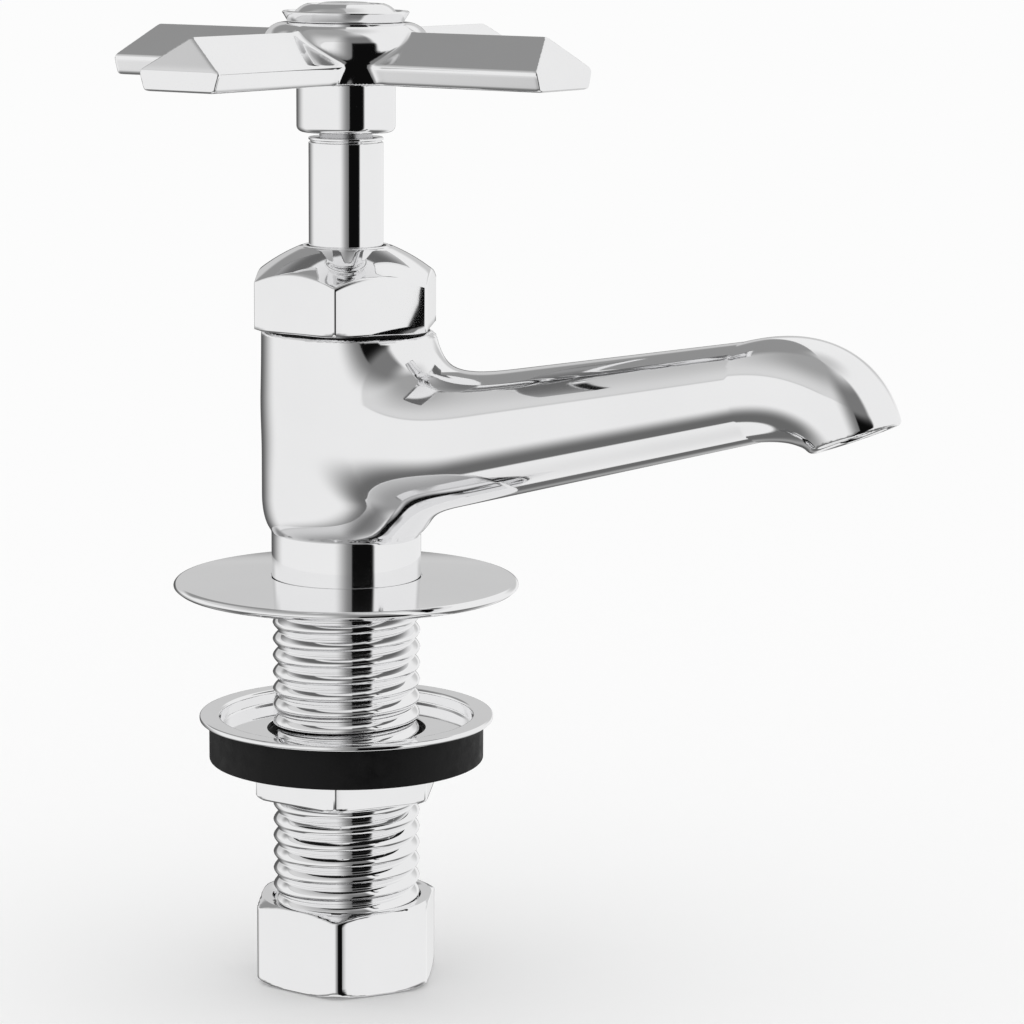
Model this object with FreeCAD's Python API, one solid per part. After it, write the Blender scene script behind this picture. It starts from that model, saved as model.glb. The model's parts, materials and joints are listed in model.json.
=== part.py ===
import FreeCAD, Part
import math
import os

# Pillar basin tap with a swept spout, a four-armed handle and a threaded shank with its fixings.
# Millimetres. Origin on the tap's axis at the underside of the flange, +Z up, +X along the spout.

os.makedirs("parts", exist_ok=True)
V = FreeCAD.Vector

# ---- driving dimensions -------------------------------------------------------------------
BODY_R = 11.9
BODY_TOP = 37.0
BASE_R = 10.58
BASE_BOTTOM = 0.8
CHAMBER_R = 9.2
CHAMBER_FLOOR = 12.0
THROAT_R = 7.3
INLET_R = 6.4

SPOUT_PITCH_DEG = 12.96
SPOUT_AXIS_START = (12.0, 21.3)
SPOUT_BEND = ((66.14, 33.72), (74.82, 35.72), (79.18, 33.76), (81.52, 28.91))
SPOUT_ROOT_R = 9.3
SPOUT_BEND_R = 6.64
SPOUT_BULGE_R = 7.53
SPOUT_END_R = 6.16
SPOUT_BORE_R = 4.7
OUTLET_R = 5.0
OUTLET_DEPTH = 4.0
SPLIT_RUN = 17.0
BLEND_R = 6.0

FLANGE_R = 24.57
FLANGE_CENTRE_T = 1.97
FLANGE_EDGE_T = 1.37

SHANK_R = 10.48
SHANK_END = -51.0
THREAD_PITCH = 2.4
THREAD_DEPTH = 0.95
SPIGOT_R = 8.6
SPIGOT_TOP = 5.6
SHOULDER_Z = 0.4

CUP_RIM_R = 20.93
CUP_TOP = -18.06
CUP_T = 0.74
CUP_WELL_R = 18.0
CUP_FLOOR = -20.1
RUBBER_R = 19.56
RUBBER_BOTTOM = -24.57
LOCKNUT_R = 13.96
LOCKNUT_BOTTOM = -29.34
NUT_BORE_R = 10.55

COUPLING_R = 14.0
COUPLING_TOP = -44.6
COUPLING_BOTTOM = -56.5
COUPLING_WASHER_BOTTOM = -53.5
TAIL_R = 7.3

BONNET_R = 13.86
BONNET_BOTTOM = 37.3
BONNET_TOP = 48.9
SKIRT_TOP = 32.9
SLEEVE_R = 5.2
SLEEVE_BORE_R = 4.0
SLEEVE_BOTTOM = 41.0
SLEEVE_TOP = 63.2
BUSH_BOTTOM = 59.0

STEM_R = 3.7
STEM_THREAD_R = 5.3
SQUARE = 5.4

ARM_HALF_WIDTH = 6.78
ARM_TIP = 36.4
ARM_BOTTOM = 71.5
ARM_SIDE_TOP = 74.2
ARM_RIDGE = 78.7
ARM_HIP = 33.4
HUB_R = 11.6
COLLAR_R = 6.87
COLLAR_BOTTOM = 64.6
ARM_EDGE_R = 0.45
HUB_BLEND_R = 1.0


# ---- helpers ------------------------------------------------------------------------------
def turned(profile):
    """A solid of revolution about Z. Points are (radius, height); a four-value entry is an arc
    through its first pair that ends on its second pair."""
    edges = []
    here = V(profile[0][0], 0, profile[0][1])
    first = here
    for step in profile[1:]:
        end = V(step[-2], 0, step[-1])
        if len(step) == 2:
            edges.append(Part.makeLine(here, end))
        else:
            edges.append(Part.Arc(here, V(step[0], 0, step[1]), end).toShape())
        here = end
    edges.append(Part.makeLine(here, first))
    return Part.Face(Part.Wire(edges)).revolve(V(0, 0, 0), V(0, 0, 1), 360)


def cyl(radius, z0, z1, x=0.0, y=0.0):
    return Part.makeCylinder(radius, z1 - z0, V(x, y, z0), V(0, 0, 1))


def tube(r_out, r_in, z0, z1):
    return cyl(r_out, z0, z1).cut(cyl(r_in, z0 - 1.0, z1 + 1.0))


def box(x0, x1, y0, y1, z0, z1):
    return Part.makeBox(x1 - x0, y1 - y0, z1 - z0, V(x0, y0, z0))


def hexagon(circumradius, z0, z1):
    pts = []
    for k in range(7):
        a = math.radians(60.0 * k)
        pts.append(V(circumradius * math.cos(a), circumradius * math.sin(a), z0))
    return Part.Face(Part.makePolygon(pts)).extrude(V(0, 0, z1 - z0))


def ring_torus(mid_r, cross_r, z):
    return Part.makeTorus(mid_r, cross_r, V(0, 0, z), V(0, 0, 1))


def thread_profile(r_crest, depth, pitch, z_low, z_high):
    """Outline, bottom to top, of crests with rounded tops and V roots."""
    out = []
    z = z_low
    while z + pitch <= z_high + 1e-6:
        out.append((r_crest - depth, z))
        out.append((r_crest - 0.25 * depth, z + 0.28 * pitch))
        out.append((r_crest, z + 0.40 * pitch))
        out.append((r_crest, z + 0.60 * pitch))
        out.append((r_crest - 0.25 * depth, z + 0.72 * pitch))
        z += pitch
    out.append((r_crest - depth, z))
    return out


def save(shape, name):
    if shape.ShapeType == "Compound" and len(shape.Solids) == 1:
        shape = shape.Solids[0]
    shape.exportStep("parts/" + name + ".step")


# ---- spout geometry -----------------------------------------------------------------------
def spout_sections():
    """Centre, direction and outer radius of each section along the spout."""
    slope = math.radians(SPOUT_PITCH_DEG)
    ax, az = SPOUT_AXIS_START
    bx, bz = SPOUT_BEND[0]
    out = []
    rise = V(math.cos(slope), 0, math.sin(slope))
    t = -0.10
    start = V(ax + (bx - ax) * t, 0, az + (bz - az) * t)
    out.append((start, rise, SPOUT_ROOT_R + (SPOUT_BEND_R - SPOUT_ROOT_R) * t))
    p0, p1, p2, p3 = SPOUT_BEND
    for k in range(7):
        t = k / 6.0
        w = ((1 - t) ** 3, 3 * t * (1 - t) ** 2, 3 * t * t * (1 - t), t ** 3)
        x = sum(a * p[0] for a, p in zip(w, (p0, p1, p2, p3)))
        z = sum(a * p[1] for a, p in zip(w, (p0, p1, p2, p3)))
        d = ((1 - t) ** 2, 2 * t * (1 - t), t * t)
        dx = sum(a * (q[0] - p[0]) for a, p, q in zip(d, (p0, p1, p2), (p1, p2, p3)))
        dz = sum(a * (q[1] - p[1]) for a, p, q in zip(d, (p0, p1, p2), (p1, p2, p3)))
        n = math.hypot(dx, dz)
        radius = SPOUT_BEND_R * d[0] + SPOUT_BULGE_R * d[1] + SPOUT_END_R * d[2]
        out.append((V(x, 0, z), V(dx / n, 0, dz / n), radius))
    return out


def spout_solid(sections):
    """A tapering straight run, then a bend lofted through its sections."""
    start, rise, r0 = sections[0]
    joint, _, r1 = sections[1]
    run = []
    for t in (0.0, 0.25, 0.5, 0.75, 1.0):
        run.append(Part.Wire([Part.makeCircle(r0 + (r1 - r0) * t, start + (joint - start) * t, rise)]))
    bend = []
    for centre, direction, radius in sections[1:]:
        bend.append(Part.Wire([Part.makeCircle(radius, centre, direction)]))
    return Part.makeLoft(run, True, False).fuse(Part.makeLoft(bend, True, False))


def spout_bore(sections):
    """Tapered passage up the spout, then an even one round the bend and out of the end."""
    slope = math.tan(math.radians(SPOUT_PITCH_DEG))
    start = V(5.0, 0, SPOUT_AXIS_START[1] - 7.0 * slope)
    rise = sections[0][1]
    bend = V(SPOUT_BEND[0][0], 0, SPOUT_BEND[0][1])
    passage = Part.makeCone(SPOUT_ROOT_R - 3.0, SPOUT_BORE_R, (bend - start).Length, start, rise)
    wires = []
    for centre, direction, _ in sections[1:]:
        wires.append(Part.Wire([Part.makeCircle(SPOUT_BORE_R, centre, direction)]))
    round_bend = Part.makeLoft(wires, True, False)
    end, out_dir, _ = sections[-1]
    outlet = Part.makeCylinder(OUTLET_R, 7.0, end - out_dir * OUTLET_DEPTH, out_dir)
    return passage, round_bend, outlet


# ---- body and spout: one smooth casting, divided where the spout's root blend ends ---------
def make_body():
    barrel = turned([
        (0, BASE_BOTTOM), (BASE_R, BASE_BOTTOM), (BASE_R, 9.05),
        (11.53, 10.25, BODY_R, 11.8), (BODY_R, BODY_TOP - 0.5), (BODY_R - 0.5, BODY_TOP), (0, BODY_TOP),
    ])
    sections = spout_sections()
    shell = barrel.fuse(spout_solid(sections)).removeSplitter()
    seams = []
    for edge in shell.Edges:
        b = edge.BoundBox
        if 4.0 < b.XMin and b.XMax < 12.5 and b.ZMin > 8.0 and b.ZMax < 34.0 and b.YLength > 0.5:
            seams.append(edge)
    shell = shell.makeFillet(BLEND_R, seams)
    for cutter in spout_bore(sections):
        shell = shell.cut(cutter)
    shell = shell.cut(cyl(CHAMBER_R, CHAMBER_FLOOR, BODY_TOP + 1))
    shell = shell.cut(cyl(THROAT_R, 8.0, CHAMBER_FLOOR + 0.5))
    shell = shell.cut(cyl(INLET_R, 6.0, 8.5))
    shell = shell.cut(cyl(SPIGOT_R, BASE_BOTTOM - 1, 6.8))
    rise = sections[0][1]
    split_point = sections[0][0] + rise * SPLIT_RUN
    beyond = Part.makeCylinder(60.0, 120.0, split_point, rise)
    return shell.cut(beyond), shell.common(beyond)


body, spout = make_body()
save(body, "body")
save(spout, "spout")

# ---- flange, shank and seals --------------------------------------------------------------
flange = turned([
    (SPIGOT_R, SHOULDER_Z), (BASE_R + 0.12, SHOULDER_Z), (BASE_R + 0.12, 0), (23.7, 0),
    (24.315, 0.255, FLANGE_R, 0.87), (24.45, 1.2, 24.1, FLANGE_EDGE_T),
    (17.5, 1.75, BASE_R + 0.17, FLANGE_CENTRE_T), (BASE_R + 0.17, BASE_BOTTOM), (SPIGOT_R, BASE_BOTTOM),
])
save(flange, "flange")

threads = thread_profile(SHANK_R, THREAD_DEPTH, THREAD_PITCH, SHANK_END + 0.6, -0.3)
shank = turned(
    [(INLET_R, SHANK_END), (SHANK_R - THREAD_DEPTH, SHANK_END)]
    + threads
    + [(SHANK_R - THREAD_DEPTH, SHOULDER_Z), (SPIGOT_R, SHOULDER_Z)]
    + [(SPIGOT_R, SPIGOT_TOP), (INLET_R, SPIGOT_TOP)]
)
save(shank, "shank")
save(tube(8.5, 6.7, SPIGOT_TOP, 6.8), "shank_seal")

seat = turned([
    (4.6, 8.0), (THROAT_R, 8.0), (THROAT_R, CHAMBER_FLOOR), (8.3, CHAMBER_FLOOR), (8.3, 12.7), (6.2, 12.7),
    (5.7, 13.4), (5.1, 13.4), (4.6, 12.9),
])
save(seat, "valve_seat")

# ---- bonnet, sleeve and gland -------------------------------------------------------------
cone = turned([
    (0, BONNET_BOTTOM), (12.4, BONNET_BOTTOM), (BONNET_R, 37.9), (BONNET_R, 44.1),
    (11.3, 46.1, 6.6, 48.7), (6.1, BONNET_TOP), (0, BONNET_TOP),
])
bonnet = hexagon(BONNET_R, BONNET_BOTTOM, BONNET_TOP).common(cone)
bonnet = bonnet.fuse(cyl(CHAMBER_R - 0.05, 26.5, BONNET_BOTTOM + 0.5))
bonnet = bonnet.cut(cyl(6.9, 26.0, SKIRT_TOP))
bonnet = bonnet.cut(cyl(5.6, 31.0, SLEEVE_BOTTOM))
bonnet = bonnet.cut(cyl(SLEEVE_R, SLEEVE_BOTTOM - 0.5, 46.6))
bonnet = bonnet.cut(cyl(5.6, 46.5, BONNET_TOP + 1))
bonnet = bonnet.cut(box(-1.4, 1.4, -8.2, 8.2, 26.0, SKIRT_TOP))
save(bonnet, "bonnet_nut")
save(tube(11.3, CHAMBER_R, BODY_TOP, BONNET_BOTTOM), "bonnet_gasket")

sleeve = tube(SLEEVE_R, SLEEVE_BORE_R, SLEEVE_BOTTOM, SLEEVE_TOP)
sleeve = sleeve.cut(cyl(4.5, BUSH_BOTTOM, SLEEVE_TOP + 1))
save(sleeve, "gland_sleeve")
bush = turned([
    (3.76, BUSH_BOTTOM), (4.5, BUSH_BOTTOM), (4.5, SLEEVE_TOP), (4.95, SLEEVE_TOP),
    (4.95, 63.45), (SLEEVE_R, 63.55), (SLEEVE_R, 63.9), (3.76, 63.9),
])
save(bush, "gland_bush")

# ---- plunger: held from turning by two ribs, lifted by the stem's button ---------------------
plunger = cyl(7.4, 16.0, 18.4).fuse(cyl(6.6, 18.4, 28.5))
plunger = plunger.fuse(box(-1.1, 1.1, -7.9, 7.9, 18.0, 28.5))
plunger = plunger.cut(cyl(3.6, 23.0, 25.2)).cut(box(-9.0, 0.0, -3.6, 3.6, 23.0, 25.2))
plunger = plunger.cut(cyl(2.6, 25.0, 29.0)).cut(box(-9.0, 0.0, -2.6, 2.6, 25.0, 29.0))
plunger = plunger.cut(cyl(1.7, 15.0, 21.0))
save(plunger, "washer_holder")
seat_washer = turned([(1.75, 13.4), (6.6, 13.4), (7.0, 13.8), (7.0, 16.0), (1.75, 16.0)])
save(seat_washer, "seat_washer")
washer_screw = cyl(3.1, 12.1, 13.4).fuse(cyl(1.65, 13.0, 20.0)).cut(box(-4.0, 4.0, -0.4, 0.4, 11.0, 12.7))
save(washer_screw, "washer_screw")

# ---- stem with its threads, groove rings and driving square ----------------------------------
stem_threads = thread_profile(STEM_THREAD_R, 0.7, 1.27, 29.2, 34.8)
stem = turned(
    [(0, 23.1), (3.3, 23.1), (3.3, 25.1), (2.3, 25.1), (2.3, 28.9), (4.2, 28.9)]
    + stem_threads
    + [
        (4.6, 35.3), (4.0, 35.3), (4.0, 36.1), (STEM_R, 36.1),
        (STEM_R, 49.4), (2.95, 49.4), (2.95, 50.6), (STEM_R, 50.6),
        (STEM_R, 53.4), (2.95, 53.4), (2.95, 54.6), (STEM_R, 54.6),
        (STEM_R, 68.0), (0, 68.0),
    ]
)
square_end = box(-SQUARE / 2, SQUARE / 2, -SQUARE / 2, SQUARE / 2, 68.0, 76.0).common(cyl(STEM_R, 68.0, 76.0))
stem = stem.fuse(square_end).cut(cyl(2.0, 66.0, 77.0))
save(stem, "stem")
clip = tube(5.0, 4.0, 35.35, 36.05).cut(box(0.0, 6.0, -1.0, 1.0, 35.0, 36.5))
save(clip, "stem_clip")
save(tube(4.9, STEM_R, 36.1, 36.7), "thrust_washer")
save(ring_torus(3.455, 0.5, 50.0), "lower_oring")
save(ring_torus(3.455, 0.5, 54.0), "upper_oring")


# ---- handle -------------------------------------------------------------------------------
def make_arm_pair():
    """One straight bar with a ridged roof and hipped ends, lying along X."""
    w = ARM_HALF_WIDTH
    outline = [
        (-w, ARM_BOTTOM), (w, ARM_BOTTOM), (w, ARM_SIDE_TOP), (0, ARM_RIDGE),
        (-w, ARM_SIDE_TOP), (-w, ARM_BOTTOM),
    ]
    bar = Part.Face(Part.makePolygon([V(-ARM_TIP, y, z) for y, z in outline])).extrude(V(2 * ARM_TIP, 0, 0))
    for side in (-1, 1):
        hip = [
            V(side * ARM_TIP, -w - 1, ARM_SIDE_TOP), V(side * ARM_HIP, -w - 1, ARM_RIDGE),
            V(side * ARM_HIP, -w - 1, ARM_RIDGE + 5), V(side * (ARM_TIP + 5), -w - 1, ARM_RIDGE + 5),
            V(side * (ARM_TIP + 5), -w - 1, ARM_SIDE_TOP), V(side * ARM_TIP, -w - 1, ARM_SIDE_TOP),
        ]
        bar = bar.cut(Part.Face(Part.makePolygon(hip)).extrude(V(0, 2 * w + 2, 0)))
    return bar.makeFillet(ARM_EDGE_R, bar.Edges)


def roof_seams(shape):
    """The edges where the hub's wall meets the arms' roofs."""
    found = []
    for edge in shape.Edges:
        span = edge.LastParameter - edge.FirstParameter
        points = [edge.valueAt(edge.FirstParameter + span * k / 4) for k in range(5)]
        low = min(p.z for p in points)
        high = max(p.z for p in points)
        inside = all(math.hypot(p.x, p.y) < HUB_R + 0.05 for p in points)
        if inside and high - low > 0.001 and low > ARM_SIDE_TOP - 0.4 and abs(low - 78.61) > 0.02:
            found.append(edge)
    return found


def make_handle():
    bar = make_arm_pair()
    cross = bar.copy()
    cross.rotate(V(0, 0, 0), V(0, 0, 1), 90)
    hub = turned([
        (0, ARM_BOTTOM), (HUB_R - 0.7, ARM_BOTTOM), (HUB_R, ARM_BOTTOM + 0.7), (HUB_R, 76.4),
        (11.0, 78.3, 9.0, 79.7), (0, 79.7),
    ])
    solid = bar.fuse([cross, hub])
    solid = solid.makeFillet(HUB_BLEND_R, roof_seams(solid))
    collar = turned([
        (0, COLLAR_BOTTOM), (COLLAR_R - 1.0, COLLAR_BOTTOM),
        (COLLAR_R - 0.29, COLLAR_BOTTOM + 0.29, COLLAR_R, COLLAR_BOTTOM + 1.0), (COLLAR_R, ARM_BOTTOM + 0.5),
        (0, ARM_BOTTOM + 0.5),
    ])
    solid = solid.fuse(collar)
    solid = solid.cut(cyl(6.3, 76.3, 80.0))
    solid = solid.cut(cyl(STEM_R + 0.05, COLLAR_BOTTOM - 1, 68.05))
    half = SQUARE / 2 + 0.05
    square_hole = box(-half, half, -half, half, 68.0, 77.0).common(cyl(STEM_R + 0.05, 68.0, 77.0))
    return solid.cut(square_hole)


save(make_handle(), "cross_handle")
save(tube(3.9, 2.1, 76.3, 76.9), "screw_washer")
handle_screw = turned([
    (0, 67.0), (1.95, 67.0), (1.95, 76.9), (3.8, 76.9), (3.8, 78.4), (3.2, 79.1), (0, 79.1),
])
handle_screw = handle_screw.cut(box(-2.6, 2.6, -0.5, 0.5, 77.9, 80.0))
handle_screw = handle_screw.cut(box(-0.5, 0.5, -2.6, 2.6, 77.9, 80.0))
save(handle_screw, "handle_screw")

cap_ring = turned([
    (4.9, 77.6), (6.25, 77.6), (6.25, 79.7), (8.0, 79.7), (8.2, 79.95), (8.35, 80.55, 8.83, 81.05),
    (8.75, 81.25), (8.45, 81.3), (7.75, 80.75), (7.3, 80.7), (7.3, 80.3), (4.9, 80.3),
])
save(cap_ring, "cap_ring")
button = turned([
    (0, 79.3), (4.85, 79.3), (4.85, 80.3), (7.1, 80.3), (7.1, 81.0), (6.95, 81.25), (5.6, 82.3), (5.2, 82.4),
    (0, 82.4),
])
save(button, "index_button")

# ---- clamp set under the deck ------------------------------------------------------------------
cup = turned([
    (11.3, CUP_FLOOR - CUP_T), (CUP_WELL_R + 0.3, CUP_FLOOR - CUP_T),
    (CUP_WELL_R + 0.72, CUP_FLOOR - CUP_T + 0.2, CUP_WELL_R + 0.9, CUP_FLOOR - CUP_T + 0.7),
    (CUP_WELL_R + 0.9, CUP_TOP - CUP_T), (CUP_RIM_R - 0.3, CUP_TOP - CUP_T),
    (CUP_RIM_R, CUP_TOP - CUP_T / 2, CUP_RIM_R - 0.3, CUP_TOP), (CUP_WELL_R + 0.5, CUP_TOP),
    (CUP_WELL_R + 0.15, CUP_TOP - 0.15, CUP_WELL_R, CUP_TOP - 0.5), (CUP_WELL_R, CUP_FLOOR + 0.4),
    (CUP_WELL_R - 0.12, CUP_FLOOR + 0.12, CUP_WELL_R - 0.4, CUP_FLOOR), (11.3, CUP_FLOOR),
])
save(cup, "clamp_cup")
rubber = turned([
    (11.0, RUBBER_BOTTOM), (RUBBER_R - 0.25, RUBBER_BOTTOM), (RUBBER_R, RUBBER_BOTTOM + 0.25),
    (RUBBER_R, CUP_TOP - CUP_T - 0.25), (RUBBER_R - 0.25, CUP_TOP - CUP_T),
    (CUP_WELL_R + 0.9, CUP_TOP - CUP_T),
    (CUP_WELL_R + 0.9, CUP_FLOOR - CUP_T), (11.0, CUP_FLOOR - CUP_T),
])
save(rubber, "rubber_washer")

locknut = hexagon(LOCKNUT_R, LOCKNUT_BOTTOM, RUBBER_BOTTOM)
locknut = locknut.cut(cyl(NUT_BORE_R, LOCKNUT_BOTTOM - 1, RUBBER_BOTTOM + 1))
save(locknut, "locknut")

coupling_turning = turned([
    (0, COUPLING_BOTTOM), (11.9, COUPLING_BOTTOM),
    (13.2, COUPLING_BOTTOM + 0.35, 13.7, COUPLING_BOTTOM + 1.2),
    (13.7, COUPLING_TOP - 1.0), (12.3, COUPLING_TOP), (0, COUPLING_TOP),
])
coupling = hexagon(COUPLING_R, COUPLING_BOTTOM, COUPLING_TOP)
coupling = coupling.makeFillet(2.0, [e for e in coupling.Edges if e.BoundBox.ZLength > 5.0])
coupling = coupling.common(coupling_turning)
coupling = coupling.cut(cyl(NUT_BORE_R, COUPLING_WASHER_BOTTOM, COUPLING_TOP + 1))
coupling = coupling.cut(cyl(TAIL_R, COUPLING_BOTTOM - 1, COUPLING_WASHER_BOTTOM + 1))
save(coupling, "coupling_nut")
save(tube(10.2, INLET_R, COUPLING_WASHER_BOTTOM, SHANK_END), "coupling_washer")
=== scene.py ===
import json
import math

import bmesh
import bpy
import numpy as np
from mathutils import Matrix, Vector


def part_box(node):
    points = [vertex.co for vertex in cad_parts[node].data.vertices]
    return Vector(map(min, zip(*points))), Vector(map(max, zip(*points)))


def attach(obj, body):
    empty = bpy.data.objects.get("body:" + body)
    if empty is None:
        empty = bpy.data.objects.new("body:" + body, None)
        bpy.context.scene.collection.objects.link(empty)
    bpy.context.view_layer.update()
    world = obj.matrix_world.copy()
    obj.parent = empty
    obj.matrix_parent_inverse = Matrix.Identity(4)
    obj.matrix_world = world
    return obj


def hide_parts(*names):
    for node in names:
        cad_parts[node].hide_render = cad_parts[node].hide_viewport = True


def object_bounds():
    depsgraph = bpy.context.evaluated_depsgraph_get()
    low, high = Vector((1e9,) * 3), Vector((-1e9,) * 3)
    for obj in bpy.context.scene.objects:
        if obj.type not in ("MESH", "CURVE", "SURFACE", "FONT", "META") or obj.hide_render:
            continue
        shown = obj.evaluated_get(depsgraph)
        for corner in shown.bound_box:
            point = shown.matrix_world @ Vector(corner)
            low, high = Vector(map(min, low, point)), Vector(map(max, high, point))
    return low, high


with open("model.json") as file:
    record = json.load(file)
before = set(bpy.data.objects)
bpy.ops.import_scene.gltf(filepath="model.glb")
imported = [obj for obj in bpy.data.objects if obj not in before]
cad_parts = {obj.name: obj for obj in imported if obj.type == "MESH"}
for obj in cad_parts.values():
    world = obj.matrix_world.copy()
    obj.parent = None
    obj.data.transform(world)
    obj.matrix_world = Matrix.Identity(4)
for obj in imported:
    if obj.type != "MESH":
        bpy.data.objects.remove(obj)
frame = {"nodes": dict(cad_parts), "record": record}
cad_low, cad_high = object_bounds()
MM = 0.001

# Looks of a basin pillar tap. Shapes are worked out in millimetres and scaled by MM. The origin is on the
# tap's axis at the underside of the flange, with +Z up and +X along the spout.

# ---------------------------------------------------------------------------- materials

NOISE_LOW, NOISE_HIGH = 0.3, 0.7


def shader(name, metallic, colours, roughness, grain,
           gloss=0.5, bump=0.0, bump_grain=1000.0, bump_height=0.03):
    """A Principled material whose colour, roughness and any relief vary over the surface. The grains are
    noise scales, and the relief's height is in millimetres."""
    mat = bpy.data.materials.new(name)
    mat.use_nodes = True
    nodes, links = mat.node_tree.nodes, mat.node_tree.links
    bsdf = nodes["Principled BSDF"]
    bsdf.inputs["Metallic"].default_value = metallic
    bsdf.inputs["Specular IOR Level"].default_value = gloss
    coords = nodes.new("ShaderNodeTexCoord")
    patches = nodes.new("ShaderNodeTexNoise")
    patches.inputs["Scale"].default_value = grain
    patches.inputs["Detail"].default_value = 5.0
    patches.inputs["Roughness"].default_value = 0.6
    links.new(coords.outputs["Object"], patches.inputs["Vector"])
    tint = nodes.new("ShaderNodeValToRGB")
    for stop, place, colour in zip(tint.color_ramp.elements, (NOISE_LOW, NOISE_HIGH), colours):
        stop.position = place
        stop.color = (*colour, 1)
    links.new(patches.outputs["Fac"], tint.inputs["Fac"])
    links.new(tint.outputs["Color"], bsdf.inputs["Base Color"])
    spread = nodes.new("ShaderNodeMapRange")
    spread.inputs["From Min"].default_value = NOISE_LOW
    spread.inputs["From Max"].default_value = NOISE_HIGH
    spread.inputs["To Min"].default_value = roughness[0]
    spread.inputs["To Max"].default_value = roughness[1]
    links.new(patches.outputs["Fac"], spread.inputs["Value"])
    links.new(spread.outputs["Result"], bsdf.inputs["Roughness"])
    if bump:
        fine = nodes.new("ShaderNodeTexNoise")
        fine.inputs["Scale"].default_value = bump_grain
        fine.inputs["Detail"].default_value = 3.0
        links.new(coords.outputs["Object"], fine.inputs["Vector"])
        relief = nodes.new("ShaderNodeBump")
        relief.inputs["Strength"].default_value = bump
        relief.inputs["Distance"].default_value = bump_height * MM
        links.new(fine.outputs["Fac"], relief.inputs["Height"])
        links.new(relief.outputs["Normal"], bsdf.inputs["Normal"])
    return mat


PLATING = [(0.90, 0.90, 0.905), (0.93, 0.93, 0.935)]
CHROME = shader("chrome", 1.0, PLATING, (0.03, 0.05), 60.0, bump=0.12, bump_grain=55.0, bump_height=0.02)
CAST_CHROME = shader("cast_chrome", 1.0, PLATING, (0.04, 0.07), 45.0, bump=0.25, bump_grain=45.0)
RUBBER = shader("rubber", 0.0, [(0.003, 0.003, 0.0032), (0.006, 0.006, 0.0064)], (0.45, 0.65), 500.0,
                gloss=0.2, bump=0.5, bump_grain=2600.0, bump_height=0.04)
FIBRE = shader("fibre", 0.0, [(0.36, 0.09, 0.06), (0.46, 0.14, 0.10)], (0.7, 0.9), 1200.0,
               bump=0.8, bump_grain=4000.0)
NYLON = shader("nylon", 0.0, [(0.30, 0.30, 0.31), (0.36, 0.36, 0.37)], (0.35, 0.5), 500.0,
               bump=0.2, bump_grain=2500.0)
BRASS = shader("brass", 1.0, [(0.72, 0.50, 0.22), (0.80, 0.58, 0.27)], (0.18, 0.28), 300.0,
               bump=0.2, bump_grain=1500.0)
STEEL = shader("steel", 1.0, [(0.52, 0.52, 0.53), (0.60, 0.60, 0.61)], (0.2, 0.34), 300.0,
               bump=0.2, bump_grain=1500.0)
BY_SLOT = {
    "polished_chrome": CHROME,
    "black_rubber": RUBBER,
    "red_fibre": FIBRE,
    "grey_nylon": NYLON,
    "plain_brass": BRASS,
    "plain_steel": STEEL,
}
slot_of = {row["node"]: row["material_slot"] for row in frame["record"]["subparts"]}
for name, node in frame["nodes"].items():
    node.data.materials.clear()
    node.data.materials.append(BY_SLOT[slot_of[name]])

# ---------------------------------------------------------------------------- shape tools


def outer(node):
    """A turned node's outer radius, bottom and top in millimetres."""
    low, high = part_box(node)
    return high[0] / MM, low[2] / MM, high[2] / MM


def finish_piece(obj, nodes, body, material=CHROME, even=True):
    """Smooth, finished, and riding on its body in place of its CAD nodes. Flat faces are kept flat by
    even normals, except on a casting, which has its own."""
    bpy.context.scene.collection.objects.link(obj)
    obj.data.materials.append(material)
    obj.data.polygons.foreach_set("use_smooth", [True] * len(obj.data.polygons))
    if even:
        faces = obj.modifiers.new("faces", "WEIGHTED_NORMAL")
        faces.mode = "FACE_AREA"
        faces.weight = 100
        faces.thresh = 0.01
    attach(obj, body)
    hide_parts(*nodes)
    return obj


def at_angle(r, a, z):
    """The place, in metres, at a radius, an angle and a height in millimetres."""
    return r * math.cos(a) * MM, r * math.sin(a) * MM, z * MM


def ringed(name, rows, angles):
    """A closed surface of stacked rings. Each row gives (radius, height) in mm at an angle. A row of
    radius 0 closes an end on the axis; otherwise the last row joins the first."""
    bm = bmesh.new()
    rings = []
    for row in rows:
        spots = [(*row(a), a) for a in angles]
        if max(r for r, _, _ in spots) < 1e-6:
            rings.append([bm.verts.new((0, 0, spots[0][1] * MM))])
        else:
            rings.append([bm.verts.new(at_angle(r, a, z)) for r, z, a in spots])
    pairs = list(zip(rings, rings[1:]))
    if len(rings[0]) > 1:
        pairs.append((rings[-1], rings[0]))
    count = len(angles)
    for lower, upper in pairs:
        for k in range(count):
            n = (k + 1) % count
            if len(lower) == 1:
                bm.faces.new((lower[0], upper[n], upper[k]))
            elif len(upper) == 1:
                bm.faces.new((lower[k], lower[n], upper[0]))
            else:
                bm.faces.new((lower[k], lower[n], upper[n], upper[k]))
    return solid_from(bm, name)


def solid_from(bm, name):
    """An object from a closed bmesh, with its faces turned outwards."""
    bmesh.ops.recalc_face_normals(bm, faces=bm.faces)
    mesh = bpy.data.meshes.new(name)
    bm.to_mesh(mesh)
    bm.free()
    return bpy.data.objects.new(name, mesh)


def level(r, z):
    """A row that is the same all the way round."""
    return lambda a: (r, z)


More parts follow.
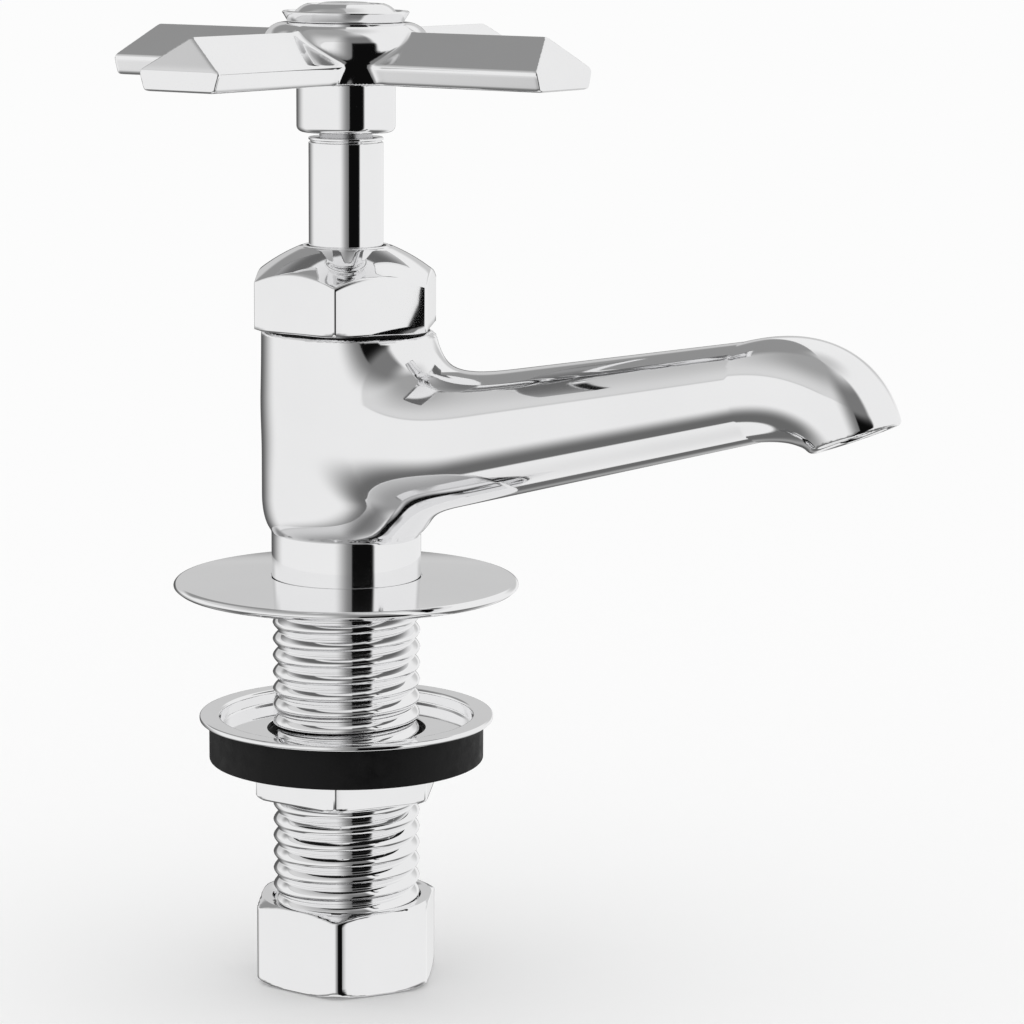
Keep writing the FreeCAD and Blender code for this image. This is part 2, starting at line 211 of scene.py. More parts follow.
def outline(points, rounding):
    """Rows round a profile of (radius, height) points, each corner rounded by up to the given size.
    A point with a third value is rounded by that instead."""
    rows = []
    count = len(points)
    for k, point in enumerate(points):
        here = Vector(point[:2])
        size = point[2] if len(point) > 2 else rounding
        before = Vector(points[k - 1][:2]) - here
        after = Vector(points[(k + 1) % count][:2]) - here
        if size <= 0:
            rows.append(level(here.x, here.y))
            continue
        size = min(size, 0.45 * before.length, 0.45 * after.length)
        start, end = here + before.normalized() * size, here + after.normalized() * size
        steps = 2 if size < 0.08 else 5
        for s in range(steps + 1):
            t = s / steps
            spot = start * (1 - t) ** 2 + here * (2 * t * (1 - t)) + end * t * t
            rows.append(level(spot.x, spot.y))
    return rows


def round_angles(count):
    return [2 * math.pi * k / count for k in range(count)]


SIXTH = math.pi / 3
FLAT_STEPS, CORNER_STEPS = 16, 6


def hexagon_facts(corner, rounding):
    """A hexagon's distance to its flats, and half the angle that each rounded corner takes up."""
    apothem = corner * math.cos(SIXTH / 2)
    reach = SIXTH / 2 - math.atan((apothem - rounding) * math.tan(SIXTH / 2) / apothem)
    return apothem, reach


def hex_angles(corner, rounding):
    """Angles round a hexagon, close together where its corners are rounded."""
    _, reach = hexagon_facts(corner, rounding)
    out = []
    for k in range(6):
        at = k * SIXTH
        out += [at - reach + 2 * reach * s / CORNER_STEPS for s in range(CORNER_STEPS)]
        out += [at + reach + (SIXTH - 2 * reach) * s / FLAT_STEPS for s in range(FLAT_STEPS)]
    return out


def hex_radius(corner, rounding, a):
    """Distance from the axis to the side of a hexagon with rounded corners, one of them on +X."""
    apothem, reach = hexagon_facts(corner, rounding)
    off = abs((a + SIXTH / 2) % SIXTH - SIXTH / 2)
    if off < reach:
        centre = (apothem - rounding) / math.cos(SIXTH / 2)
        return centre * math.cos(off) + math.sqrt(rounding**2 - (centre * math.sin(off)) ** 2)
    return apothem / math.cos(SIXTH / 2 - off)


# ---------------------------------------------------------------------------- smooth castings

# A field is negative inside a shape, positive outside and about as large as the distance to its surface.
NOWHERE = -50.0
DRAW_ROUNDS = 7
LONGEST_MOVE = 0.6


def smooth_min(a, b, k):
    """The union of two fields, with a soft valley about k wide where they meet."""
    h = np.maximum(k - np.abs(a - b), 0) / k
    return np.minimum(a, b) - h**3 * k / 6


def smooth_max(a, b, k):
    return -smooth_min(-a, -b, k)


def round_edge(a, b, radius):
    """Where two faces meet in an outside edge, rounded by a radius."""
    outside = np.hypot(np.maximum(a + radius, 0), np.maximum(b + radius, 0))
    return np.minimum(np.maximum(a, b) + radius, 0) + outside - radius


def slope_of(field, p, step=0.01):
    grad = np.empty_like(p)
    for axis in range(3):
        shift = np.zeros(3)
        shift[axis] = step
        grad[:, axis] = (field(p + shift) - field(p - shift)) / (2 * step)
    return grad


def even_skin(name, nodes, voxel):
    """A mesh of even voxels over the CAD nodes."""
    bm = bmesh.new()
    for node in nodes:
        bm.from_mesh(frame["nodes"][node].data)
    mesh = bpy.data.meshes.new(name + "_start")
    bm.to_mesh(mesh)
    bm.free()
    start = bpy.data.objects.new(name + "_start", mesh)
    bpy.context.scene.collection.objects.link(start)
    skin = start.modifiers.new("skin", "REMESH")
    skin.mode = "VOXEL"
    skin.voxel_size = voxel * MM
    evaluated = start.evaluated_get(bpy.context.evaluated_depsgraph_get())
    result = bpy.data.meshes.new_from_object(evaluated)
    bpy.data.objects.remove(start)
    result.name = name
    return result


def casting(name, nodes, field, voxel):
    """An even skin over the CAD nodes, drawn onto the surface where the field is zero."""
    result = even_skin(name, nodes, voxel)
    p = np.empty(len(result.vertices) * 3)
    result.vertices.foreach_get("co", p)
    p = p.reshape(-1, 3) / MM
    for _ in range(DRAW_ROUNDS):
        grad = slope_of(field, p)
        size = np.maximum((grad * grad).sum(axis=1), 0.05)
        move = grad * (field(p) / size)[:, None]
        length = np.linalg.norm(move, axis=1)
        move *= np.minimum(1, LONGEST_MOVE / np.maximum(length, 1e-9))[:, None]
        p -= move
    result.vertices.foreach_set("co", (p * MM).ravel())
    result.update()
    normals = slope_of(field, p)
    normals /= np.maximum(np.linalg.norm(normals, axis=1), 1e-9)[:, None]
    result.polygons.foreach_set("use_smooth", [True] * len(result.polygons))
    result.materials.clear()
    result.normals_split_custom_set_from_vertices(normals.tolist())
    return bpy.data.objects.new(name, result)


# ---- body and spout

_, BODY_BOTTOM, BODY_TOP = outer("body")
BODY_R, BASE_R = 11.9, 10.58
LID_REACH, LID_ROUNDING = 14.0, 0.5
SHOULDER_Z, SHOULDER_RISE, SHOULDER_WIDTH, SHOULDER_DROP = 8.75, 4.9, 1.75, 0.95
BASE_OVERLAP, BASE_BLEND = 3.0, 0.7
SPOUT_START = np.array((12.0, 21.3))
SPOUT_POLES = np.array(((66.14, 33.72), (74.82, 35.72), (79.18, 33.76), (81.52, 28.91)))
ROOT_R, BEND_R, BULGE_R, END_R = 9.3, 6.64, 7.53, 6.16
BLEND_UNDER, BLEND_OVER, BLEND_CHANGE = 8.5, 18.0, 14.0
OUTLET_TILT = math.radians(3.0)
RIM_ROUNDING = 0.55
BORE_R, ROOT_BORE_GAIN, OUTLET_BORE_GAIN = 4.7, 1.6, 0.3
OUTLET_BORE_T, OUTLET_STEP_T = 0.78, 0.02
CHAMBER_R, CHAMBER_FLOOR = 9.2, 12.0
THROAT_R, THROAT_FLOOR = 7.3, 8.0
INLET_R, INLET_FLOOR = 6.4, 6.0
SPIGOT_R, SPIGOT_ROOF = 8.6, 6.8


def spine(t):
    """Centre line of the spout in the X-Z plane: t below 0 is the straight run, 0 to 1 the bend."""
    p0, p1, p2, p3 = SPOUT_POLES
    u = np.clip(t, 0, 1)[:, None]
    at = (1 - u) ** 3 * p0 + 3 * u * (1 - u) ** 2 * p1 + 3 * u * u * (1 - u) * p2 + u**3 * p3
    run = p0 + (p1 - p0) * 3 * t[:, None]
    past = p3 + (p3 - p2) * 3 * (t[:, None] - 1)
    at = np.where(t[:, None] < 0, run, np.where(t[:, None] > 1, past, at))
    first = 3 * ((1 - u) ** 2 * (p1 - p0) + 2 * u * (1 - u) * (p2 - p1) + u * u * (p3 - p2))
    second = 6 * ((1 - u) * (p2 - 2 * p1 + p0) + u * (p3 - 2 * p2 + p1))
    second = np.where((t[:, None] < 0) | (t[:, None] > 1), 0, second)
    return at, first, second


RUN_LENGTH = np.linalg.norm(SPOUT_POLES[0] - SPOUT_START)
RUN_T = -RUN_LENGTH / (3 * np.linalg.norm(SPOUT_POLES[1] - SPOUT_POLES[0]))
INNER_T, OUTER_T = RUN_T * 1.055, 1.2
SAMPLES = np.linspace(INNER_T, 1.15, 160)


def along_spout(p):
    """For each point, its place along the spout and its distance from the centre line."""
    flat = p[:, (0, 2)]
    marks = spine(SAMPLES)[0]
    gaps = ((flat[:, None, :] - marks[None, :, :]) ** 2).sum(axis=2)
    t = SAMPLES[gaps.argmin(axis=1)]
    for _ in range(4):
        at, first, second = spine(t)
        off = at - flat
        slope = (first * first).sum(axis=1) + (off * second).sum(axis=1)
        t = t - np.clip((off * first).sum(axis=1) / np.maximum(slope, 1.0), -0.05, 0.05)
        t = np.clip(t, INNER_T, OUTER_T)
    off = flat - spine(t)[0]
    return t, np.sqrt((off * off).sum(axis=1) + p[:, 1] ** 2)


def past_outlet(x, z):
    """How far a point lies beyond the slightly tilted face of the outlet."""
    end = SPOUT_POLES[3]
    aim = end - SPOUT_POLES[2]
    turn = math.atan2(aim[1], aim[0]) - OUTLET_TILT
    return (x - end[0]) * math.cos(turn) + (z - end[1]) * math.sin(turn)


def body_shell(radius, z, t, gap, face):
    """The outside: a barrel on a narrower base, with the spout growing out of it."""
    drop = SHOULDER_DROP * np.clip((SHOULDER_Z + SHOULDER_RISE - z) / SHOULDER_RISE, 0, 1)
    barrel = radius - BODY_R + SHOULDER_WIDTH * (1 - np.sqrt(1 - drop * drop))
    barrel = np.maximum(barrel, SHOULDER_Z - z)
    base = np.maximum(radius - BASE_R, z - SHOULDER_Z - BASE_OVERLAP)
    u = np.clip(t, 0, 1)
    run_r = BEND_R + (ROOT_R - BEND_R) * np.clip(t / RUN_T, -1, 1.2)
    bend_r = BEND_R * (1 - u) ** 2 + BULGE_R * 2 * u * (1 - u) + END_R * u * u
    tube = round_edge(gap - np.where(t < 0, run_r, bend_r), face, RIM_ROUNDING)
    over = np.clip((z - SPOUT_START[1] + BLEND_CHANGE / 2) / BLEND_CHANGE, 0, 1)
    blend = BLEND_UNDER + (BLEND_OVER - BLEND_UNDER) * over * over * (3 - 2 * over)
    shell = smooth_min(smooth_min(barrel, tube, blend), base, BASE_BLEND)
    lid = np.where(radius < LID_REACH, z - BODY_TOP, NOWHERE)
    return np.maximum(round_edge(shell, lid, LID_ROUNDING), BODY_BOTTOM - z)


def body_hollow(radius, z, t, gap, face):
    """The inside: the passage up the spout, and the chamber, throat, inlet and spigot socket."""
    outlet = np.clip((t - OUTLET_BORE_T) / OUTLET_STEP_T, 0, 1)
    run_r = BORE_R + ROOT_BORE_GAIN * np.clip(t / RUN_T, -1, 1.2)
    hollow = gap - np.where(t < 0, run_r, BORE_R + OUTLET_BORE_GAIN * outlet)
    hollow = -round_edge(-hollow, face, RIM_ROUNDING * 0.9)
    for bore_r, floor_z in ((CHAMBER_R, CHAMBER_FLOOR), (THROAT_R, THROAT_FLOOR), (INLET_R, INLET_FLOOR)):
        hollow = np.minimum(hollow, np.maximum(radius - bore_r, floor_z - z))
    return np.minimum(hollow, np.maximum(radius - SPIGOT_R, z - SPIGOT_ROOF))


def body_field(p):
    radius = np.hypot(p[:, 0], p[:, 1])
    z = p[:, 2]
    t, gap = along_spout(p)
    face = np.where(t > 0.5, past_outlet(p[:, 0], z), NOWHERE)
    return np.maximum(body_shell(radius, z, t, gap, face), -body_hollow(radius, z, t, gap, face))


tap = casting("tap_casting", ["body", "spout"], body_field, 0.42)
finish_piece(tap, ["body", "spout"], "tap_body", material=CAST_CHROME, even=False)

# ---- handle

ARM_TIP, COLLAR_BOTTOM, HUB_TOP = outer("cross_handle")
ARM_HALF_WIDTH, ARM_HIP = 6.78, 33.4
ARM_BOTTOM, ARM_SIDE_TOP, ARM_RIDGE = 71.5, 74.2, 78.7
SIDE_DRAFT = math.radians(18)
RIDGE_EDGE, EDGE = 0.5, 0.7
HUB_R, HUB_ROUND, HUB_BLEND = 11.6, 3.1, 1.6
COLLAR_R, COLLAR_ROUND, COLLAR_OVERLAP, COLLAR_BLEND = 6.87, 0.9, 1.0, 0.5
CAP_HOLE_R, CAP_HOLE_FLOOR = 6.3, 76.3
STEM_HOLE_R, STEM_HOLE_TOP = 3.75, 68.05
SQUARE_HALF, SQUARE_TOP = 2.75, 77.0


def bar_field(length, width, z):
    """A bar along one axis with a ridged roof, hipped ends and drafted sides, open below."""
    tall = ARM_RIDGE - ARM_SIDE_TOP
    roof_across, roof_up = np.array((tall, ARM_HALF_WIDTH)) / math.hypot(tall, ARM_HALF_WIDTH)
    hip_along, hip_up = np.array((tall, ARM_TIP - ARM_HIP)) / math.hypot(tall, ARM_TIP - ARM_HIP)
    slant = roof_across * width
    above = z - ARM_RIDGE
    roof = smooth_max(slant + roof_up * above, -slant + roof_up * above, RIDGE_EDGE)
    hip = hip_along * (np.abs(length) - ARM_HIP) + hip_up * above
    solid = smooth_max(roof, hip, RIDGE_EDGE)
    beside = np.abs(width) - ARM_HALF_WIDTH
    wall = beside * math.cos(SIDE_DRAFT) + (ARM_SIDE_TOP - z) * math.sin(SIDE_DRAFT)
    return smooth_max(smooth_max(solid, wall, EDGE), np.abs(length) - ARM_TIP, EDGE)


def handle_field(p):
    x, y, z = p.T
    radius = np.hypot(x, y)
    arms = np.minimum(bar_field(x, y, z), bar_field(y, x, z))
    hub = round_edge(radius - HUB_R, z - HUB_TOP, HUB_ROUND)
    top = smooth_max(smooth_min(arms, hub, HUB_BLEND), ARM_BOTTOM - z, EDGE)
    collar = round_edge(radius - COLLAR_R, COLLAR_BOTTOM - z, COLLAR_ROUND)
    collar = np.maximum(collar, z - ARM_BOTTOM - COLLAR_OVERLAP)
    solid = smooth_min(top, collar, COLLAR_BLEND)
    hollow = np.maximum(radius - CAP_HOLE_R, CAP_HOLE_FLOOR - z)
    hollow = np.minimum(hollow, np.maximum(radius - STEM_HOLE_R, z - STEM_HOLE_TOP))
    square = np.maximum(np.maximum(np.abs(x), np.abs(y)) - SQUARE_HALF, z - SQUARE_TOP)
    hollow = np.minimum(hollow, np.maximum(square, radius - STEM_HOLE_R))
    return np.maximum(solid, -hollow)


handle = casting("handle_casting", ["cross_handle"], handle_field, 0.34)
finish_piece(handle, ["cross_handle"], "spindle", material=CAST_CHROME, even=False)

# ---------------------------------------------------------------------------- turned and hexagonal pieces

LARGE_ROUND, SMALL_ROUND = 160, 120
SLEEVE_TOP_BORE_R, SLEEVE_BUSH_BOTTOM = 4.5, 59.0


def add_flange():
    """A thin round plate that rises gently to the body's base, with a ledge for the shank's shoulder."""
    rim, bottom, top = outer("flange")
    hole, ledge, ledge_low, ledge_high = 10.7, 8.6, 0.4, 0.8
    rows = outline([
        (ledge, ledge_low, 0.0), (hole, ledge_low), (hole, bottom), (23.7, bottom, 0.35), (rim, 0.7, 0.4),
        (24.1, 1.37, 0.35), (17.5, 1.75, 0.0), (10.75, top, 0.08), (10.75, ledge_high, 0.0),
        (ledge, ledge_high, 0.0),
    ], 0.05)
    finish_piece(ringed("deck_flange", rows, round_angles(LARGE_ROUND)), ["flange"], "tap_body")


def add_shank():
    """A right-handed helical thread on a tube, with its spigot above."""
    crest, bottom, spigot_top = outer("shank")
    depth, pitch, fade_in, fade_out = 0.95, 2.4, 1.2, 1.6
    root, low, high = crest - depth, bottom + 0.4, -0.35
    end_r, shoulder = 9.2, 0.4
    angles = round_angles(96)
    count, phases = len(angles), 14
    bm = bmesh.new()
    turns = int((high - low) / pitch) + 3
    columns = []
    for k, a in enumerate(angles):
        column = []
        for step in range(turns * phases + 1):
            z = low - pitch + pitch * (step / phases + k / count)
            rise = 1 - abs(2 * (step % phases) / phases - 1) ** 1.5
            kept = min(max(z, low), high)
            fade = min(1.0, max(0.0, (kept - low) / fade_in), max(0.0, (high - kept) / fade_out))
            column.append(bm.verts.new(at_angle(root + depth * rise * fade, a, kept)))
        columns.append(column)
    for k in range(count):
        here, beside = columns[k], columns[(k + 1) % count]
        skip = phases if k == count - 1 else 0
        for step in range(turns * phases - skip):
            bm.faces.new((here[step], beside[step + skip], beside[step + 1 + skip], here[step + 1]))
    inner = [
        (root, low), (end_r, bottom), (INLET_R, bottom), (INLET_R, spigot_top),
        (SPIGOT_R, spigot_top), (SPIGOT_R, shoulder), (root, shoulder), (root, high),
    ]
    rings = [[bm.verts.new(at_angle(r, a, z)) for a in angles] for r, z in inner]
    for lower, upper in zip(rings, rings[1:]):
        for k in range(count):
            n = (k + 1) % count
            bm.faces.new((lower[k], upper[k], upper[n], lower[n]))
    bmesh.ops.remove_doubles(bm, verts=bm.verts, dist=0.002 * MM)
    bmesh.ops.dissolve_degenerate(bm, edges=bm.edges, dist=0.001 * MM)
    finish_piece(solid_from(bm, "threaded_shank"), ["shank"], "tap_body")


def add_bonnet():
    """Hexagonal nut whose domed top cuts its faces in arcs, with a skirt down into the body."""
    corner, skirt_bottom, top = outer("bonnet_nut")
    sleeve_r, sleeve_bottom, _ = outer("gland_sleeve")
    rounding, low, dome_low, dome_high = 0.55, 37.3, 44.1, 48.7
    mouth, sleeve_hole, shelf = 6.6, 5.6, 46.6
    skirt_r, skirt_bore, skirt_roof = 9.15, 8.0, 32.9

    def hexagon(a):
        return hex_radius(corner, rounding, a)

    def dome(r):
        """Height of the dome: a cone that bulges a little."""
        t = (corner - r) / (corner - mouth)
        rise = 0.86 * t + 0.14 * math.sin(math.pi * t / 2)
        return dome_low + (dome_high - dome_low) * rise + 0.25 * math.sin(math.pi * t)

    def wall(z):
        return lambda a: (hexagon(a), z)

    def under_dome(drop):
        return lambda a: (hexagon(a), dome(hexagon(a)) - drop)

    def on_dome(t, drop=0.0):
        def row(a):
            r = hexagon(a)
            r += (mouth - r) * t
            return r, dome(r) - drop
        return row

    def foot(inset, limit, z):
        return lambda a: (min(hexagon(a) - inset, limit), z)

    rows = [level(skirt_r, skirt_bottom), level(skirt_r, low)]
    rows += [foot(0.6, 12.4, low), foot(0.25, 12.9, low + 0.05)]
    rows += [wall(low + 0.35), wall(low + 1.2), under_dome(0.5), under_dome(0.16)]
    rows += [on_dome(0.012, 0.02), on_dome(0.03)] + [on_dome(0.03 + 0.97 * k / 14) for k in range(1, 15)]
    rows += outline([
        (6.1, top, 0.1), (sleeve_hole, top, 0.1), (sleeve_hole, shelf), (sleeve_r, shelf),
        (sleeve_r, sleeve_bottom),
    ], 0.0)
    rows += [level(sleeve_hole, sleeve_bottom), level(sleeve_hole, skirt_roof)]
    rows += [level(skirt_bore, skirt_roof), level(skirt_bore, skirt_bottom)]
    finish_piece(ringed("bonnet", rows, hex_angles(corner, rounding)), ["bonnet_nut"], "tap_body")


WHOLE = 20.0
NUT_BORE, NUT_MOUTH, MOUTH_DEPTH = 10.55, 10.8, 0.25


def add_nut(name, node, body, corner, rounding, profile, bore):
    """A hexagonal nut. Each row of the profile is the hexagon cut to a radius, WHOLE for not at all, at a
    height; each row of the bore is a radius and a height."""
    rows = []
    for limit, z in profile:
        rows.append(lambda a, limit=limit, z=z: (min(hex_radius(corner, rounding, a), limit), z))
    rows += [level(r, z) for r, z in bore]
    finish_piece(ringed(name, rows, hex_angles(corner, rounding)), [node], body)


def add_coupling_nut():
    """A deep nut with soft corners, a rounded foot and a sloping shoulder."""
    _, low, high = outer("coupling_nut")
    foot_r, foot_spread, foot_rise, foot_steps = 11.9, 1.85, 1.2, 6
    shoulder_r, shoulder_run, shoulder_fall, shoulder_steps = 13.75, 1.5, 1.05, 5
    _, washer_z, _ = outer("coupling_washer")
    tail_r = 7.3
    profile = []
    for k in range(foot_steps + 1):
        a = math.radians(90 * k / foot_steps)
        profile.append((foot_r + foot_spread * math.sin(a), low + foot_rise * (1 - math.cos(a))))
    profile += [(WHOLE, low + 1.6), (WHOLE, high - 1.45)]
    for k in range(shoulder_steps + 1):
        t = k / shoulder_steps
        profile.append((shoulder_r - shoulder_run * t * t, high - shoulder_fall * (1 - t) ** 0.8))
    profile.append((12.05, high))
    bore = [
        (NUT_MOUTH, high), (NUT_BORE, high - MOUTH_DEPTH), (NUT_BORE, washer_z),
        (tail_r, washer_z), (tail_r, low + 0.2), (tail_r + 0.2, low),
    ]
    add_nut("tail_nut", "coupling_nut", "tail_nut", 14.0, 2.0, profile, bore)


def add_locknut():
    _, low, high = outer("locknut")
    profile = [(13.3, low), (13.6, low + 0.25), (WHOLE, low + 0.6), (WHOLE, high - 0.25), (13.7, high)]
    bore = [
        (NUT_MOUTH, high), (NUT_BORE, high - MOUTH_DEPTH),
        (NUT_BORE, low + MOUTH_DEPTH), (NUT_MOUTH, low),
    ]
    add_nut("lock_nut", "locknut", "locknut_body", 13.96, 0.5, profile, bore)


def add_cup():
    """A pressed cup of even thickness, with a flat rim and a hole for the shank."""
    rim, _, top = outer("clamp_cup")
    thick, well, wall_r, hole, floor_z = 0.74, 18.0, 18.9, 11.3, -20.1
    rows = outline([
        (hole, floor_z - thick, 0.15), (wall_r, floor_z - thick, 0.7), (wall_r, top - thick, 0.1),
        (rim, top - thick, 0.35), (rim, top, 0.35), (well, top, 0.5), (well, floor_z, 0.4),
        (hole, floor_z, 0.15),
    ], 0.1)
    finish_piece(ringed("cup", rows, round_angles(LARGE_ROUND)), ["clamp_cup"], "clamp_set")


def add_rubber():
    """A thick ring that fits round the cup and under it."""
    rim, low, high = outer("rubber_washer")
    hole, recess_r, recess_z = 11.0, 18.95, -20.86
    rows = outline([
        (hole, low, 0.2), (rim, low, 0.35), (rim, high, 0.35), (recess_r, high), (recess_r, recess_z),
        (hole, recess_z),
    ], 0.0)
    ring = ringed("deck_washer", rows, round_angles(LARGE_ROUND))
    finish_piece(ring, ["rubber_washer"], "clamp_set", RUBBER)


def add_sleeve():
    r, low, high = outer("gland_sleeve")
    bore = 4.0
    rows = outline([
        (bore, low), (r, low), (r, high, 0.12), (SLEEVE_TOP_BORE_R, high),
        (SLEEVE_TOP_BORE_R, SLEEVE_BUSH_BOTTOM), (bore, SLEEVE_BUSH_BOTTOM),
    ], 0.03)
    finish_piece(ringed("sleeve", rows, round_angles(SMALL_ROUND)), ["gland_sleeve"], "tap_body")


def add_gland_ring():
    """The bush's lip, which stands on the sleeve with a fine groove between."""
    r, low, high = outer("gland_bush")
    bore, neck, groove_r, groove_low, groove_high = 3.76, 4.45, 4.95, 63.25, 63.45
    rows = outline([
        (bore, low), (neck, low), (neck, groove_low), (groove_r, groove_low), (groove_r, groove_high),
        (r, 63.55, 0.08), (r, high, 0.15), (bore, high),
    ], 0.03)
    finish_piece(ringed("gland_ring", rows, round_angles(SMALL_ROUND)), ["gland_bush"], "tap_body")


def add_cap():
    """A flared ring pressed into the hub, and the plain button in it."""
    plug, neck, seat_r, seat_z = 4.9, 6.25, 7.3, 80.3
    rim, low, top = outer("cap_ring")
    rows = outline([
        (plug, low), (neck, low), (neck, HUB_TOP), (8.0, HUB_TOP, 0.3), (8.45, 80.5, 0.4),
        (rim, 81.1, 0.12), (8.55, top, 0.12), (7.85, 80.8, 0.2), (seat_r, 80.75), (seat_r, seat_z),
        (plug, seat_z),
    ], 0.04)
    finish_piece(ringed("cap_rim", rows, round_angles(SMALL_ROUND)), ["cap_ring"], "spindle")
    edge, low, top = outer("index_button")
    rows = outline([
        (4.85, low), (4.85, seat_z), (edge, seat_z), (edge, 81.1, 0.25), (6.2, 81.9, 0.5), (5.0, top, 0.6),
    ], 0.04)
    rows = [level(0, low)] + rows + [level(3.0, top), level(0, top)]
    finish_piece(ringed("cap_button", rows, round_angles(SMALL_ROUND)), ["index_button"], "spindle")


add_flange()
add_shank()
add_bonnet()
add_coupling_nut()
add_locknut()
add_cup()
add_rubber()
add_sleeve()
add_gland_ring()
add_cap()

# ---------------------------------------------------------------------------- stage

VIEW_AZIMUTH = 36.892
# Displayed tones of the panels round the tap.
WALL, CEILING, BACK_WALL, HORIZON = 0.95, 0.86, 0.58, 0.80
GREY_CARD, GROUND, BACK_EDGE, BLACK_FLAG = 0.48, 0.42, 0.36, 0.05


def smooth(value, low, high):
    t = np.clip((value - low) / (high - low), 0, 1)
    return t * t * (3 - 2 * t)


def band(value, low, high, soft_low, soft_high):
    """One between low and high and zero outside, with soft ends."""
    rising = smooth(value, low - soft_low, low + soft_low)
    return rising * (1 - smooth(value, high - soft_high, high + soft_high))


def toward(tone, target, amount):
    return tone + (target - tone) * amount


def studio_tone(side, height):
    """Displayed brightness of the studio at a direction: degrees right of the camera and degrees up."""
    tone = WALL - 0.06 * smooth(-height, 58, 85)
    ceiling = smooth(height, 27.5, 29) * band(side, -165, 20, 20, 25)
    tone = toward(tone, CEILING - 0.22 * smooth(height, 32, 70), ceiling)
    tone = tone - 0.12 * band(height, 27.0, 28.8, 0.5, 0.5) * band(side, -150, -30, 10, 10)
    tone = tone - 0.16 * smooth(height, 60, 88) * (1 - ceiling)
    card = smooth(side, -20, 9) * (1 - smooth(side, 34, 44)) * band(height, -45, 60, 10, 15)
    tone = toward(tone, GREY_CARD, card)
    tone = toward(tone, BACK_WALL, smooth(-side, 122, 140) * band(height, 20, 75, 6, 10))
    tone = toward(tone, HORIZON, smooth(np.abs(side), 135, 155) * band(height, 5, 20, 3, 4))
    edge = smooth(-side, 112, 165) + smooth(side, 166, 177)
    tone = toward(tone, BACK_EDGE, edge * (1 - smooth(height, 2, 7)) * smooth(height, -40, -25))
    tone = toward(tone, GROUND, smooth(-height, 23, 48) * (1 - smooth(-height, 56, 58)))
    return toward(tone, BLACK_FLAG, band(side, 8.5, 42.0, 1.0, 3.5) * band(height, -60, 22, 6, 6))


def glow_material():
    """Light as bright as the mesh's own glow attribute."""
    mat = bpy.data.materials.new("dome")
    mat.use_nodes = True
    nodes, links = mat.node_tree.nodes, mat.node_tree.links
    nodes.remove(nodes["Principled BSDF"])
    emission = nodes.new("ShaderNodeEmission")
    read = nodes.new("ShaderNodeAttribute")
    read.attribute_name = "glow"
    links.new(read.outputs["Fac"], emission.inputs["Strength"])
    links.new(emission.outputs["Emission"], nodes["Material Output"].inputs["Surface"])
    return mat


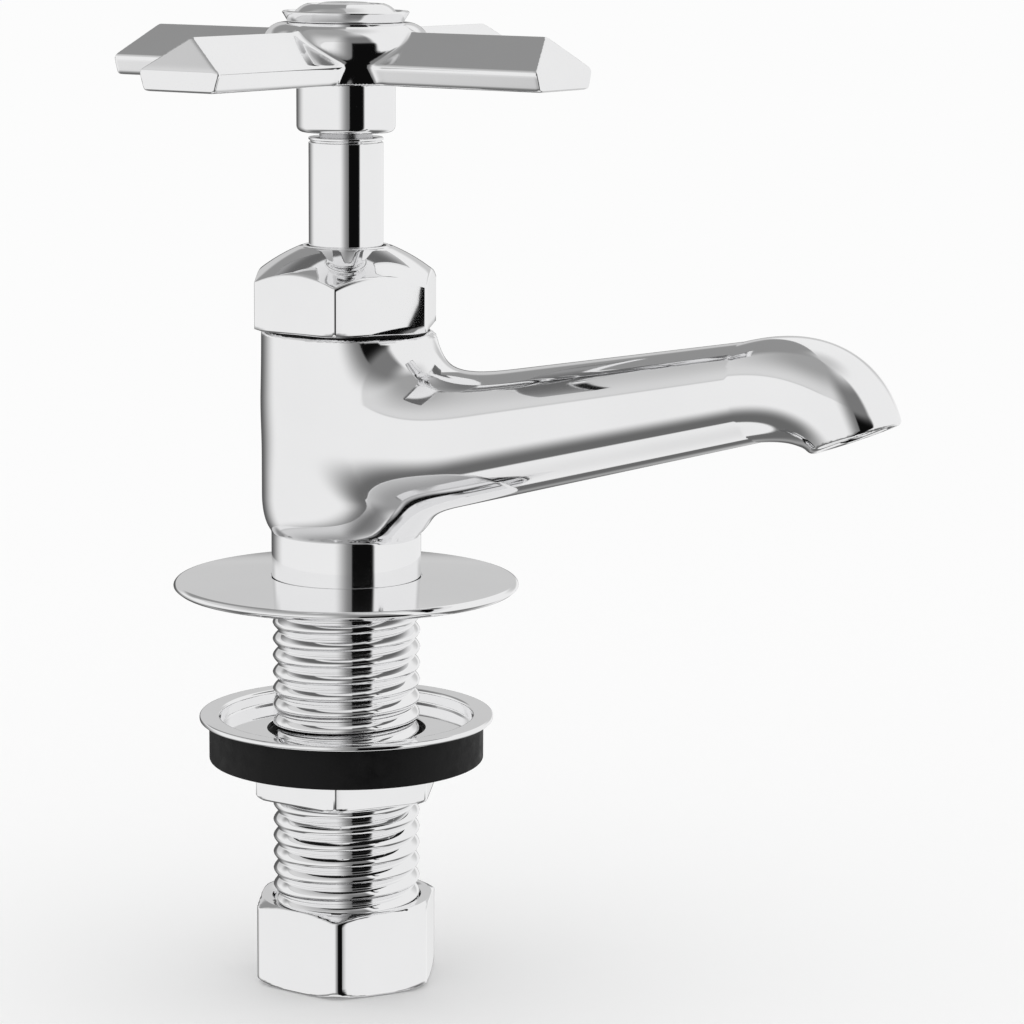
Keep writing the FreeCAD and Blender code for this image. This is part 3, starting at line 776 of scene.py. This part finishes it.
def add_dome():
    """A dome of soft panels and flags that only reflections see, with a vertex at every degree."""
    wide, high, far = 360, 180, 4.0
    side = np.repeat(np.arange(wide)[None, :], high + 1, axis=0) - 180.0
    height = np.repeat(np.arange(high + 1)[:, None], wide, axis=1) * 180.0 / high - 90.0
    tone = np.clip(studio_tone(side, height), 0, 1)
    linear = np.where(tone <= 0.04045, tone / 12.92, ((tone + 0.055) / 1.055) ** 2.4)
    turn = np.radians(side + VIEW_AZIMUTH)
    lift = np.radians(height)
    level_part = np.cos(lift)
    spots = np.stack([np.sin(turn) * level_part, -np.cos(turn) * level_part, np.sin(lift)], axis=2) * far
    faces = []
    for row in range(high):
        for k in range(wide):
            n = (k + 1) % wide
            faces.append((row * wide + k, row * wide + n, (row + 1) * wide + n, (row + 1) * wide + k))
    mesh = bpy.data.meshes.new("dome")
    mesh.from_pydata(spots.reshape(-1, 3).tolist(), [], faces)
    glow = mesh.attributes.new("glow", "FLOAT", "POINT")
    glow.data.foreach_set("value", linear.ravel())
    mesh.materials.append(glow_material())
    dome = bpy.data.objects.new("dome", mesh)
    bpy.context.scene.collection.objects.link(dome)
    dome.visible_camera = False
    dome.visible_diffuse = False
    dome.visible_shadow = False
    dome.visible_transmission = False


def add_floor():
    """A pale floor just under the lowest point. Its edge is far away, and reflections don't see it."""
    far = 80.0
    mesh = bpy.data.meshes.new("floor")
    mesh.from_pydata([(-far, -far, 0), (far, -far, 0), (far, far, 0), (-far, far, 0)], [], [(0, 1, 2, 3)])
    pale = [(0.972, 0.972, 0.972), (0.976, 0.976, 0.976)]
    mesh.materials.append(shader("floor", 0.0, pale, (0.9, 0.95), 0.6, gloss=0.0))
    floor = bpy.data.objects.new("floor", mesh)
    floor.location.z = cad_low.z - 0.2 * MM
    bpy.context.scene.collection.objects.link(floor)
    floor.visible_glossy = False


add_dome()
add_floor()

world = bpy.data.worlds.new("studio")
bpy.context.scene.world = world
world.use_nodes = True
world.node_tree.nodes["Background"].inputs["Color"].default_value = (1, 1, 1, 1)
world.node_tree.nodes["Background"].inputs["Strength"].default_value = 1.0

# ---------------------------------------------------------------------------- camera

CAMERA_AT = Vector((298.24, -397.36, 97.79)) * MM
YAW, PITCH, ROLL = math.radians(-34.187), math.radians(9.902), math.radians(0.409)

camera_data = bpy.data.cameras.new("camera")
camera_data.sensor_width = 36.0
camera_data.lens = 125.24
camera_data.clip_start = 0.01
camera_data.clip_end = 200.0
camera = bpy.data.objects.new("camera", camera_data)
bpy.context.scene.collection.objects.link(camera)
ahead = Vector((math.sin(YAW) * math.cos(PITCH), math.cos(YAW) * math.cos(PITCH), -math.sin(PITCH)))
across = Vector((math.cos(YAW), -math.sin(YAW), 0.0))
upright = across.cross(ahead)
right = across * math.cos(ROLL) + upright * math.sin(ROLL)
up = upright * math.cos(ROLL) - across * math.sin(ROLL)
camera.matrix_world = Matrix((
    (right.x, up.x, -ahead.x, CAMERA_AT.x),
    (right.y, up.y, -ahead.y, CAMERA_AT.y),
    (right.z, up.z, -ahead.z, CAMERA_AT.z),
    (0, 0, 0, 1),
))
bpy.context.scene.camera = camera
bpy.context.scene.view_settings.view_transform = "Standard"
